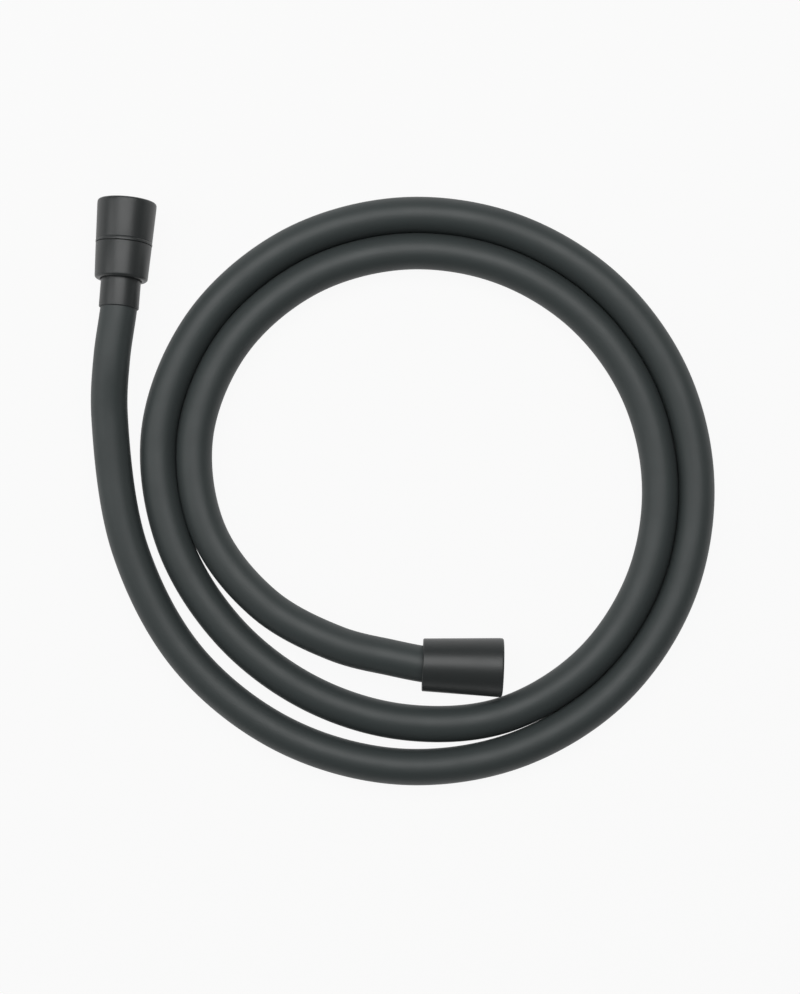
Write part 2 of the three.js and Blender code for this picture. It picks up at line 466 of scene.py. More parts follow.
@dataclass
class HoseRoute:
    """The line that the hose follows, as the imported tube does.

    Attributes:
        loop_middle: The point in plan that the loops run round.
        first_bearing: The first loop point's bearing in degrees, clockwise from +X.
        bearing_step: The bearing from one loop point to the next.
        radii: The loop points' distances from the middle, one row a turn.
        cone_lead: The route's point between the cone nut and the loops.
        swivel_lead: The route's point between the loops and the swivel fitting.
        lift_after_cone: Shares of the cone fitting's height left at the points after it.
        lift_before_swivel: The same before the swivel fitting, counted from it.
        radius: The hose's radius, which is its height on the floor.
        slack: How much of the gap between turns lying side by side is closed up.
        beside: The widest gap of turns that lie side by side.
    """

    loop_middle: tuple[float, float] = (0.0511, -0.01479)
    first_bearing: float = 120.0
    bearing_step: float = 24.0
    radii: tuple[tuple[float, ...], ...] = (
        (
            0.0730, 0.0808, 0.0894, 0.0951, 0.0966, 0.0957, 0.0939, 0.0925,
            0.0919, 0.0919, 0.0925, 0.0942, 0.0959, 0.0964, 0.0952,
        ),
        (
            0.0956, 0.0988, 0.1046, 0.1098, 0.1112, 0.1103, 0.1085, 0.1071,
            0.1066, 0.1068, 0.1076, 0.1090, 0.1107, 0.1120, 0.1131,
        ),
        (
            0.1152, 0.1183, 0.1217, 0.1295,
        ),
    )
    cone_lead: tuple[float, float] = (0.0365, -0.0835)
    swivel_lead: tuple[float, float] = (-0.0743, 0.03511)
    lift_after_cone: tuple[float, ...] = (0.8, 0.58, 0.33, 0.12, 0.01)
    lift_before_swivel: tuple[float, ...] = (1.0, 0.58, 0.2, 0.03)
    radius: float = 7.25 * MM
    slack: float = 0.65 * MM
    beside: float = 2 * MM

    def settled(self) -> list[float]:
        """Closes up the turns that lie side by side.

        Returns:
            The loop points' distances from the middle.
        """
        rows = [list(row) for row in self.radii]
        inner, outer = rows[0], rows[1]
        for i in range(len(inner)):
            gap = outer[i] - inner[i] - 2 * self.radius
            if gap < self.beside:
                inner[i] += min(gap, self.slack) / 2
                outer[i] -= min(gap, self.slack) / 2
        return [reach for row in rows for reach in row]

    def loop_points(self) -> list[Vector]:
        """Works out the points of the loops.

        Returns:
            The points, at the height of a hose that lies on the floor.
        """
        x, y = self.loop_middle
        points = []
        for i, reach in enumerate(self.settled()):
            bearing = math.radians(self.first_bearing + i * self.bearing_step)
            points.append(
                Vector(
                    (x + reach * math.cos(bearing), y - reach * math.sin(bearing), self.radius)
                )
            )
        return points

    def points(self, start: list[Vector], end: list[Vector]) -> list[Vector]:
        """All of the route's points.

        Args:
            start: The straight stretch in the cone fitting, from the hose's end on.
            end: The straight stretch in the swivel fitting, from the hose's end back.

        Returns:
            The points from one end of the hose to the other.
        """
        lead = Vector((*self.cone_lead, self.radius))
        last = Vector((*self.swivel_lead, self.radius))
        table = [lead, *self.loop_points(), last]
        for i, share in enumerate(self.lift_after_cone):
            table[i].z += share * (start[-1].z - self.radius)
        for i, share in enumerate(self.lift_before_swivel):
            table[-1 - i].z += share * (end[-1].z - self.radius)
        return [*start, *table, *reversed(end)]


def catmull_rom(points: Sequence[Vector], spacing: float, steps: int = 40) -> list[Vector]:
    """Draws one smooth curve, a centripetal Catmull-Rom, and divides it evenly.

    Args:
        points: The points that it goes through.
        spacing: The distance between the points returned.
        steps: Into how many steps each stretch is cut to measure it.

    Returns:
        Points on the curve, the first and last of those given among them.
    """
    ends = [points[0] * 2 - points[1], *points, points[-1] * 2 - points[-2]]
    fine: list[Vector] = []
    for a, b, c, d in zip(ends, ends[1:], ends[2:], ends[3:]):
        t0 = 0.0
        t1 = t0 + math.sqrt((b - a).length)
        t2 = t1 + math.sqrt((c - b).length)
        t3 = t2 + math.sqrt((d - c).length)
        for i in range(steps):
            t = t1 + (t2 - t1) * i / steps
            ab = a * ((t1 - t) / (t1 - t0)) + b * ((t - t0) / (t1 - t0))
            bc = b * ((t2 - t) / (t2 - t1)) + c * ((t - t1) / (t2 - t1))
            cd = c * ((t3 - t) / (t3 - t2)) + d * ((t - t2) / (t3 - t2))
            abc = ab * ((t2 - t) / (t2 - t0)) + bc * ((t - t0) / (t2 - t0))
            bcd = bc * ((t3 - t) / (t3 - t1)) + cd * ((t - t1) / (t3 - t1))
            fine.append(abc * ((t2 - t) / (t2 - t1)) + bcd * ((t - t1) / (t2 - t1)))
    fine.append(points[-1].copy())
    lengths = [0.0]
    for p, q in zip(fine, fine[1:]):
        lengths.append(lengths[-1] + (q - p).length)
    count = round(lengths[-1] / spacing)
    even: list[Vector] = []
    at = 0
    for i in range(count + 1):
        want = lengths[-1] * i / count
        while at < len(lengths) - 2 and lengths[at + 1] < want:
            at += 1
        share = (want - lengths[at]) / (lengths[at + 1] - lengths[at])
        even.append(fine[at].lerp(fine[at + 1], share))
    return even


def length_of(points: Sequence[Vector]) -> float:
    """The length of a line through points."""
    return sum((q - p).length for p, q in zip(points, points[1:]))


@dataclass
class Hose:
    """The hose itself: a smooth tube with a true bore, laid along its route.

    Attributes:
        diameter: Its outside diameter.
        bore: Its bore's diameter.
        sides: How many sides its section has.
        spacing: The distance between two rings of its mesh.
        sharp: Degrees between two faces, above which their edge stays sharp.
    """

    diameter: float = 14.5 * MM
    bore: float = 9.4 * MM
    sides: int = 40
    spacing: float = 2.4 * MM
    sharp: float = 50.0

    def ring(
        self, shape: bmesh.types.BMesh, line: list[Vector], i: int
    ) -> list[bmesh.types.BMVert]:
        """Adds one ring of the tube, square to its line.

        Args:
            shape: The mesh that gets it.
            line: The points that the tube follows.
            i: The number of the ring's point on that line.

        Returns:
            The ring's corners: those of the outside, then those of the bore.
        """
        ahead = (line[min(i + 1, len(line) - 1)] - line[max(i - 1, 0)]).normalized()
        side = ahead.cross(UP).normalized()
        up = side.cross(ahead)
        ring = []
        for radius in (self.diameter / 2, self.bore / 2):
            for k in range(self.sides):
                angle = 2 * math.pi * k / self.sides
                outwards = side * math.cos(angle) + up * math.sin(angle)
                ring.append(shape.verts.new(line[i] + outwards * radius))
        return ring

    def build(self, line: list[Vector]) -> bpy.types.Object:
        """Makes the tube.

        Args:
            line: The points that it follows.

        Returns:
            The hose, with a UV map in metres: along it, and round it.
        """
        mesh = bpy.data.meshes.new("hose")
        shape = bmesh.new()
        uv = shape.loops.layers.uv.new(HOSE_UV)
        rings = [self.ring(shape, line, i) for i in range(len(line))]
        n = self.sides
        round_step = math.pi * self.diameter / n
        for i, (ring, after) in enumerate(zip(rings, rings[1:])):
            for k in range(n):
                j = (k + 1) % n
                outer = shape.faces.new((ring[k], ring[j], after[j], after[k]))
                inner = shape.faces.new((ring[n + j], ring[n + k], after[n + k], after[n + j]))
                for face, v in ((outer, (k, k + 1, k + 1, k)), (inner, (k + 1, k, k, k + 1))):
                    for loop, along, around in zip(face.loops, (i, i, i + 1, i + 1), v):
                        loop[uv].uv = (along * self.spacing, around * round_step)
        for ring in (rings[0], rings[-1]):
            for k in range(n):
                j = (k + 1) % n
                shape.faces.new((ring[k], ring[n + k], ring[n + j], ring[j]))
        bmesh.ops.recalc_face_normals(shape, faces=shape.faces)
        shape.to_mesh(mesh)
        shape.free()
        hose = bpy.data.objects.new("hose", mesh)
        bpy.context.scene.collection.objects.link(hose)
        smooth(hose, self.sharp)
        return hose


# The end fittings


@dataclass
class Cone:
    """The cone that both fittings share, and how one of them lies on the floor.

    Attributes:
        mouth: The middle of its mouth in plan, and the heading from it to the hose.
        climb: How many degrees its middle line climbs towards the hose.
        mouth_diameter: Its diameter at the mouth.
        back_diameter: Its diameter at the hose's side.
        length: Its length.
        mouth_rounding: The size of the rounding round its mouth, on which it rests.
    """

    mouth: tuple[float, float, float]
    climb: float = 0.0
    mouth_diameter: float = 23.6 * MM
    back_diameter: float = 21.0 * MM
    length: float = 32.0 * MM
    mouth_rounding: float = 0.8 * MM

    @property
    def angle(self) -> float:
        """Half of the cone's angle."""
        return math.atan((self.mouth_diameter - self.back_diameter) / 2 / self.length)

    def radius(self, along: float) -> float:
        """The cone's radius at a distance from the mouth."""
        return self.mouth_diameter / 2 - along * math.tan(self.angle)

    @property
    def place(self) -> Matrix:
        """Works out how the fitting lies.

        Returns:
            Its frame: the axis is local Z, from the mouth to the hose.
        """
        x, y, heading = self.mouth
        plan = math.radians(heading)
        climb = math.radians(self.climb)
        level = math.cos(climb)
        along = Vector((math.cos(plan) * level, math.sin(plan) * level, math.sin(climb)))
        side = along.cross(UP).normalized()
        up = side.cross(along)
        place = Matrix((up, side, along)).transposed().to_4x4()
        rim = self.radius(self.mouth_rounding) - self.mouth_rounding
        height = rim * math.cos(climb) + self.mouth_rounding * (1 - math.sin(climb))
        place.translation = (x, y, height)
        return place

    def on_axis(self, along: float) -> Vector:
        """The point of the axis at a distance from the mouth."""
        return self.place @ Vector((0, 0, along))


@dataclass
class PipeThread:
    """The half-inch pipe thread inside a nut, ISO 228 G1/2.

    Attributes:
        major: Its major diameter.
        minor: Its minor diameter.
        pitch: The distance from one turn to the next.
        steps: How many steps a turn has.
        bite: How far the ridge's root reaches into the bore's wall.
        half_widths: Half of the ridge's width at its root, on its flank and on its crest, as
            shares of the pitch.
        rounding: How far below the crest the flank turns into it, as a share of the pitch.
        fade: Over how many turns the ridge rises out of the wall at either end.
        sharp: Degrees between two faces, above which their edge stays sharp.
    """

    major: float = 20.955 * MM
    minor: float = 18.631 * MM
    pitch: float = 1.814 * MM
    steps: int = 72
    bite: float = 0.05 * MM
    half_widths: tuple[float, float, float] = (0.47, 0.13, 0.05)
    rounding: float = 0.12
    fade: float = 0.22
    sharp: float = 60.0

    def ridge(self, name: str, start: float, end: float) -> bpy.types.Object:
        """Makes the thread's ridge by screwing its section round the axis.

        Args:
            name: The name of the piece.
            start: Where it starts, along the axis.
            end: Where it ends.

        Returns:
            The ridge, closed at both ends, where it fades into the bore's wall.
        """
        root = self.major / 2 + self.bite
        crest = self.minor / 2
        radii = (root, crest + self.rounding * self.pitch, crest)
        half = [(radius, width * self.pitch) for radius, width in zip(radii, self.half_widths)]
        section = [*((radius, -along) for radius, along in half), *reversed(half)]
        select_only()
        bpy.ops.mesh.primitive_circle_add(
            vertices=len(section), radius=root, fill_type="NOTHING"
        )
        ridge = bpy.context.active_object
        ridge.name = name
        for vertex, (radius, along) in zip(ridge.data.vertices, section):
            vertex.co = (radius, 0, start + self.pitch / 2 + along)
        turns = (end - start - self.pitch) / self.pitch
        steps = round(self.steps * turns)
        apply_modifier(
            ridge,
            "SCREW",
            axis="Z",
            angle=2 * math.pi * turns,
            screw_offset=self.pitch * turns,
            steps=steps,
            render_steps=steps,
            use_merge_vertices=False,
            use_smooth_shade=True,
        )
        for vertex in ridge.data.vertices:
            turn_at = vertex.index // len(section) / self.steps
            left = min(turn_at, turns - turn_at) / self.fade
            if left < 1:
                radius = math.hypot(vertex.co.x, vertex.co.y)
                wanted = root + (radius - root) * left
                vertex.co.x *= wanted / radius
                vertex.co.y *= wanted / radius
        bpy.ops.object.mode_set(mode="EDIT")
        bpy.ops.mesh.select_all(action="DESELECT")
        bpy.ops.mesh.select_non_manifold()
        bpy.ops.mesh.fill_holes(sides=0)
        bpy.ops.object.mode_set(mode="OBJECT")
        recalculate_normals(ridge)
        smooth(ridge, self.sharp)
        return ridge


@dataclass
class Wardrobe:
    """The finished materials.

    Attributes:
        hose: The hose's.
        coated: That of the coated nuts, collar and ferrules.
        rubber: That of the seals and O-rings.
        spring: That of the snap ring.
        brass: The turned brass of each fitting, by the fitting's name.
    """

    hose: bpy.types.Material
    coated: bpy.types.Material
    rubber: bpy.types.Material
    spring: bpy.types.Material
    brass: dict[str, bpy.types.Material]


@dataclass
class Fitting:
    """What both end fittings have in common. Depths are measured from the mouth.

    Attributes:
        cone: The cone that it follows, and how it lies.
        seat: How deep the seal's face lies.
        clearance: The gap that pieces keep where they meet or run in each other.
        mouth_lead: How deep the chamfer inside the mouth is.
        mouth_flare: How much wider the bore is at the mouth.
        crown: How far the mouth's end draws in from the cone.
        crown_length: How far back that starts.
        relief_radius: The radius of the relief behind the thread.
        relief_lead: How long the chamfer from the relief to the thread is.
        thread_start: How deep the thread starts.
        thread_runout: How far before the flange it ends.
        washer_thickness: The seal's thickness.
        washer_radius: Its outer radius.
        washer_hole: Its hole's radius.
        washer_rounding: The size of its rounded edges.
        flange_radius: The radius of the flange that the nut pulls on.
        flange_thickness: That flange's thickness.
        bore_lead: The size of the chamfers at the ends of a bore.
        ferrule_wall: The ferrule's wall.
        ferrule_length: Its length.
        ferrule_edge: The size of its chamfer at the fitting's side.
        ferrule_lip: The size of its rounding at the hose's side.
        crimp: How deep its mouth grips inwards, and where, counted from its end, the grip is
            deepest and where it stops.
        hose_radius: The hose's outer radius.
        thread: The thread in the nut.
    """

    cone: Cone
    seat: float = 7.2 * MM
    clearance: float = 0.3 * MM
    mouth_lead: float = 0.42 * MM
    mouth_flare: float = 0.25 * MM
    crown: float = 0.07 * MM
    crown_length: float = 1.9 * MM
    relief_radius: float = 10.4 * MM
    relief_lead: float = 0.3 * MM
    thread_start: float = 0.35 * MM
    thread_runout: float = 0.2 * MM
    washer_thickness: float = 2.0 * MM
    washer_radius: float = 9.1 * MM
    washer_hole: float = 5.5 * MM
    washer_rounding: float = 0.35 * MM
    flange_radius: float = 9.15 * MM
    flange_thickness: float = 1.8 * MM
    bore_lead: float = 0.4 * MM
    ferrule_wall: float = 0.35 * MM
    ferrule_length: float = 13.2 * MM
    ferrule_edge: float = 0.1 * MM
    ferrule_lip: float = 0.3 * MM
    crimp: tuple[float, float, float] = (0.18 * MM, 0.35 * MM, 1.1 * MM)
    hose_radius: float = 7.25 * MM
    thread: PipeThread = field(default_factory=PipeThread)

    @property
    def flange(self) -> float:
        """Where the flange starts."""
        return self.seat + self.washer_thickness + self.clearance

    @property
    def flange_end(self) -> float:
        """Where the flange ends."""
        return self.flange + self.flange_thickness

    @property
    def shoulder(self) -> float:
        """Where the nut's own shoulder behind the flange starts."""
        return self.flange_end + self.clearance

    @property
    def hose_end(self) -> float:
        """Where the hose's end is, which each fitting knows for itself."""
        raise NotImplementedError

    def straight_run(self) -> list[Vector]:
        """The hose's straight stretch in the ferrule, from its end on."""
        return [self.cone.on_axis(self.hose_end + self.ferrule_length * i / 2) for i in range(3)]

    def mouth_edge(self, steps: int = 5) -> Outline:
        """Draws the mouth's rounded edge and the slight crown behind it.

        Args:
            steps: How many stretches the crown has.

        Returns:
            The outline, from the mouth back.
        """
        size = self.cone.mouth_rounding
        centre = self.cone.radius(size) - size - self.crown
        crowned = []
        for i in range(1, steps + 1):
            share = i / steps
            along = size + (self.crown_length - size) * share
            crowned.append((self.cone.radius(along) - self.crown * (1 - share) ** 2, along))
        return [*quarter(centre, size, size, -90, 0), *crowned]

    def turned_nut(self, name: str, back: Outline) -> bpy.types.Object:
        """Turns a nut and joins the thread's ridge to it.

        Args:
            name: The nut's name.
            back: Its outline from the crown round its back to the shoulder in its bore.

        Returns:
            The nut, at the origin.
        """
        major = self.thread.major / 2
        bore = [
            (self.relief_radius, self.shoulder),
            (self.relief_radius, self.flange),
            (major, self.flange - self.relief_lead),
            (major, self.mouth_lead),
            (major + self.mouth_flare, 0.0),
        ]
        nut = turn(name, [*self.mouth_edge(), *back, *bore], NUT_SIDES)
        thread_end = self.flange - self.thread_runout
        select_only(nut, self.thread.ridge(name + "_thread", self.thread_start, thread_end))
        bpy.ops.object.join()
        return nut

    def washer(self, name: str) -> bpy.types.Object:
        """Makes the flat seal, which has softly rounded edges.

        Args:
            name: Its name.

        Returns:
            The seal, at the origin.
        """
        soft = self.washer_rounding
        near, far = self.seat + soft, self.seat + self.washer_thickness - soft
        outer, inner = self.washer_radius - soft, self.washer_hole + soft
        corners = ((outer, near), (outer, far), (inner, far), (inner, near))
        outline: Outline = []
        for i, (radius, along) in enumerate(corners):
            outline += quarter(radius, along, soft, 90 * (i - 1), 90 * i, 4)
        return turn(name, outline, SEAL_SIDES)

    def ferrule(self, name: str) -> bpy.types.Object:
        """Makes the crimped sleeve round the hose, which starts where the hose ends.

        Args:
            name: Its name.

        Returns:
            The sleeve, at the origin.
        """
        outer = self.hose_radius + self.clearance + self.ferrule_wall
        inner = outer - self.ferrule_wall
        start = self.hose_end
        end = start + self.ferrule_length
        lip = self.ferrule_lip
        grip, deepest, stop = self.crimp
        return turn(
            name,
            [
                (outer - self.ferrule_edge, start),
                (outer, start + self.ferrule_edge),
                *quarter(outer - lip, end - lip, lip, 0, 80, 5),
                (inner, end),
                (inner - grip, end - deepest),
                (inner, end - stop),
                (inner, start),
            ],
        )

    def dress(
        self,
        piece: bpy.types.Object,
        body: str,
        slot: Slot,
        material: bpy.types.Material,
        *nodes: str,
    ) -> bpy.types.Object:
        """Puts a piece in its place, on its body and in its finish.

        Args:
            piece: The piece, made at the origin.
            body: The CAD body it moves with.
            slot: The record's slot that its finish belongs to. Not used.
            material: The finish.
            nodes: The CAD nodes that it stands for.

        Returns:
            The piece.
        """
        put(piece, self.cone.place)
        piece.data.materials.clear()
        piece.data.materials.append(material)
        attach(piece, body)
        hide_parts(*nodes)
        log.info("%s on %s, for %s", piece.name, body, ", ".join(nodes))
        return piece


@dataclass
class SwivelEnd(Fitting):
    """The conical swivel fitting, with its nut, spigot, collar and ferrule.

    Attributes:
        length: Its length, a little short of the whole cone.
        nut_length: How far the nut reaches from the mouth.
        rim_width: The width of the band at the nut's end.
        rim_rise: How far that band stands proud.
        groove_width: The width of the soft groove above it.
        groove_depth: How deep that groove is.
        parting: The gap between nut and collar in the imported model.
        gap: The gap that shows between them.
        nut_edge: The size of the rounding at the nut's end.
        collar_edge: The size of the small roundings on the collar.
        barrel_radius: The spigot's radius in the housing.
        bore_radius: The radius of the bores that it turns in.
        spigot_bore: The radius of its own bore.
        grooves: The width of its two O-ring grooves and its snap ring groove, each with the
            radius at its bottom.
        land: The width of the land before each groove.
        tip: The length of the spigot behind them.
        spigot_edge: The size of the bevel on its edges.
        collar_inner: The collar's inner radius, round the housing.
        collar_top: The thickness of its top.
        collar_rounding: The size of the rounding at its end.
        lip_gap: The gap between its inward lip and the ferrule.
        lip_thickness: That lip's thickness.
        housing_length: The length of the housing.
    """

    length: float = 31.6 * MM
    nut_length: float = 17.1 * MM
    rim_width: float = 0.75 * MM
    rim_rise: float = 0.1 * MM
    groove_width: float = 0.7 * MM
    groove_depth: float = 0.16 * MM
    parting: float = 0.4 * MM
    gap: float = 0.2 * MM
    nut_edge: float = 0.12 * MM
    collar_edge: float = 0.15 * MM
    barrel_radius: float = 6.25 * MM
    bore_radius: float = 6.55 * MM
    spigot_bore: float = 3.65 * MM
    grooves: tuple[tuple[float, float], ...] = (
        (2.0 * MM, 4.55 * MM),
        (2.0 * MM, 4.55 * MM),
        (1.6 * MM, 5.25 * MM),
    )
    land: float = 0.6 * MM
    tip: float = 0.9 * MM
    spigot_edge: float = 0.12 * MM
    collar_inner: float = 9.5 * MM
    collar_top: float = 0.9 * MM
    collar_rounding: float = 1.3 * MM
    lip_gap: float = 0.35 * MM
    lip_thickness: float = 1.0 * MM
    housing_length: float = 10.6 * MM

    @property
    def housing_start(self) -> float:
        """Where the housing starts."""
        return self.nut_length + self.parting + self.collar_top + self.clearance

    @property
    def hose_end(self) -> float:
        """Where the hose's end is."""
        return self.housing_start + self.housing_length + self.clearance

    def nut(self, steps: int = 16) -> bpy.types.Object:
        """Makes the threaded nut, with a soft groove above the band at its lower end.

        Args:
            steps: How many stretches the groove has.

        Returns:
            The nut, at the origin.
        """
        rim = self.nut_length - self.rim_width
        end = self.nut_length + (self.parting - self.gap) / 2
        soft = self.nut_edge
        band = []
        for i in range(steps + 1):
            share = i / steps
            along = rim - self.groove_width + self.groove_width * share
            sink = self.groove_depth * (1 - math.cos(2 * math.pi * share)) / 2
            rise = self.rim_rise * share * share
            band.append((self.cone.radius(along) - sink + rise, along))
        lower = self.cone.radius(end) + self.rim_rise
        return self.turned_nut(
            "swivel_nut_shell",
            [
                *band,
                *quarter(lower - soft, end - soft, soft, 0, 90, 4),
                (self.bore_radius + soft, end),
                (self.bore_radius, end - soft),
                (self.bore_radius, self.shoulder),
            ],
        )

    def spigot(self) -> bpy.types.Object:
        """Makes the flanged barrel, with two O-ring grooves and the snap ring's groove.

        Returns:
            The spigot, at the origin.
        """
        grooves: Outline = []
        end = self.housing_start
        for width, root in self.grooves:
            start = end + self.land
            end = start + width
            grooves += [
                (self.barrel_radius, start),
                (root, start),
                (root, end),
                (self.barrel_radius, end),
            ]
        tip = end + self.tip
        lead = self.bore_lead
        return turn(
            "spigot",
            [
                (self.flange_radius, self.flange),
                (self.flange_radius, self.flange_end),
                (self.barrel_radius, self.flange_end),
                *grooves,
                (self.barrel_radius, tip - lead),
                (self.barrel_radius - lead, tip),
                (self.spigot_bore + lead, tip),
                (self.spigot_bore, tip - lead),
                (self.spigot_bore, self.flange + lead),
                (self.spigot_bore + lead, self.flange),
            ],
            edge=self.spigot_edge,
        )

    def collar(self) -> bpy.types.Object:
        """Makes the lower part of the cone, with a well rounded end and an inward lip.

        Returns:
            The collar, at the origin.
        """
        start = self.nut_length + (self.parting + self.gap) / 2
        soft = self.collar_edge
        size = self.collar_rounding
        back = self.cone.radius(self.length)
        inside = self.bore_radius + self.clearance
        top_end = self.housing_start - self.clearance
        lip = self.hose_radius + self.clearance + self.ferrule_wall + self.lip_gap
        return turn(
            "collar",
            [
                *quarter(self.cone.radius(start) - soft, start + soft, soft, -90, 0, 4),
                *quarter(back - size, self.length - size, size, 0, 90, 10),
                *quarter(lip + soft, self.length - soft, soft, 90, 180, 4),
                (lip, self.length - self.lip_thickness),
                (self.collar_inner, self.length - self.lip_thickness),
                (self.collar_inner, top_end),
                (inside, top_end),
                (inside, start),
            ],
            NUT_SIDES,
        )

    def build(self, wardrobe: Wardrobe) -> list[bpy.types.Object]:
        """Builds and dresses the fitting.

        Args:
            wardrobe: The finished materials.

        Returns:
            The pieces.
        """
        coated, rubber, brass = wardrobe.coated, wardrobe.rubber, wardrobe.brass["swivel"]
        return [
            self.dress(self.nut(), "swivel_nut", Slot.COATED, coated, "swivel_nut"),
            self.dress(self.collar(), "hose", Slot.COATED, coated, "swivel_collar"),
            self.dress(self.washer("swivel_seal"), "spigot", Slot.RUBBER, rubber, "swivel_washer"),
            self.dress(self.spigot(), "spigot", Slot.BRASS, brass, "swivel_spigot"),
            self.dress(
                self.ferrule("swivel_sleeve"), "hose", Slot.COATED, coated, "swivel_ferrule"
            ),
        ]


@dataclass
class ConeEnd(Fitting):
    """The plain cone nut on its flanged hose tail.

    Attributes:
        seat: How deep in the mouth the seal's face lies.
        shoulder_length: The length of the tail's shoulder behind its flange.
        shoulder_radius: That shoulder's radius.
        stem_bore: The radius of the tail's bore.
        stem_radius: The radius of its stem between the barbs.
        stem_length: The stem's length.
        barb_count: How many barbs it has.
        barb_pitch: The distance between two of them.
        barb_height: How far they stand out.
        barb_rise: The length of a barb's steep side.
        barb_crest: The distance from its start to the end of its crest.
        barb_foot: Where its long side ends, as a share of the pitch.
        stem_taper: How much the stem narrows at its tip.
        tail_edge: The size of the bevel on the tail's edges.
        back_rounding: The size of the roundings at the nut's back.
    """

    seat: float = 9.0 * MM
    shoulder_length: float = 2.3 * MM
    shoulder_radius: float = 6.6 * MM
    stem_bore: float = 3.4 * MM
    stem_radius: float = 4.1 * MM
    stem_length: float = 12.0 * MM
    barb_count: int = 3
    barb_pitch: float = 3.4 * MM
    barb_height: float = 0.3 * MM
    barb_rise: float = 0.05 * MM
    barb_crest: float = 0.35 * MM
    barb_foot: float = 0.8
    stem_taper: float = 0.2 * MM
    tail_edge: float = 0.1 * MM
    back_rounding: float = 0.5 * MM

    @property
    def stem_start(self) -> float:
        """Where the tail's stem starts."""
        return self.flange_end + self.shoulder_length

    @property
    def hose_end(self) -> float:
        """Where the hose's end is."""
        return self.stem_start + self.clearance

    def nut(self) -> bpy.types.Object:
        """Makes the one-piece cone nut.

        Returns:
            The nut, at the origin.
        """
        size = self.back_rounding
        back = self.cone.back_diameter / 2
        bore = self.hose_radius + 2 * self.clearance + self.ferrule_wall
        return self.turned_nut(
            "cone_nut_shell",
            [
                *quarter(back - size, self.cone.length - size, size, 0, 90, 6),
                *quarter(bore + size, self.cone.length - size, size, 90, 180, 6),
                (bore, self.shoulder),
            ],
        )

    def tail(self) -> bpy.types.Object:
        """Makes the flanged tail, with the barbs that hold the hose.

        Returns:
            The tail, at the origin.
        """
        end = self.stem_start + self.stem_length
        barb = self.stem_radius + self.barb_height
        barbs: Outline = []
        for i in range(self.barb_count, 0, -1):
            step = end - i * self.barb_pitch
            barbs += [
                (self.stem_radius, step),
                (barb, step + self.barb_rise),
                (barb, step + self.barb_crest),
                (self.stem_radius, step + self.barb_foot * self.barb_pitch),
            ]
        return turn(
            "tail",
            [
                (self.flange_radius, self.flange),
                (self.flange_radius, self.flange_end),
                (self.shoulder_radius, self.flange_end),
                (self.shoulder_radius, self.stem_start),
                (self.stem_radius, self.stem_start),
                *barbs,
                (self.stem_radius - self.stem_taper, end),
                (self.stem_bore, end),
                (self.stem_bore, self.flange + self.bore_lead),
                (self.stem_bore + self.bore_lead, self.flange),
            ],
            edge=self.tail_edge,
        )

    def build(self, wardrobe: Wardrobe) -> list[bpy.types.Object]:
        """Builds and dresses the fitting.

        Args:
            wardrobe: The finished materials.

        Returns:
            The pieces.
        """
        coated, rubber, brass = wardrobe.coated, wardrobe.rubber, wardrobe.brass["cone"]
        return [
            self.dress(self.nut(), "cone_nut", Slot.COATED, coated, "cone_nut"),
            self.dress(self.washer("cone_seal"), "hose", Slot.RUBBER, rubber, "cone_washer"),
            self.dress(self.tail(), "hose", Slot.BRASS, brass, "cone_tail"),
            self.dress(self.ferrule("cone_sleeve"), "hose", Slot.COATED, coated, "cone_ferrule"),
        ]


# The studio


@dataclass(frozen=True)
class Lamp:
    """A soft, oblong lamp.

    Attributes:
        name: Its name.
        at: Where it hangs.
        size: How wide it is, level, and how high.
        watts: Its power.
    """

    name: str
    at: tuple[float, float, float]
    size: tuple[float, float]
    watts: float

    def hang(self, target: Vector) -> None:
        """Hangs the lamp.

        Args:
            target: The point that it faces.
        """
        data = bpy.data.lights.new(self.name, "AREA")
        data.shape = "RECTANGLE"
        data.size, data.size_y = self.size
        data.energy = self.watts
        lamp = bpy.data.objects.new(self.name, data)
        lamp.location = self.at
        lamp.rotation_euler = (target - Vector(self.at)).to_track_quat("-Z", "Y").to_euler()
        bpy.context.scene.collection.objects.link(lamp)


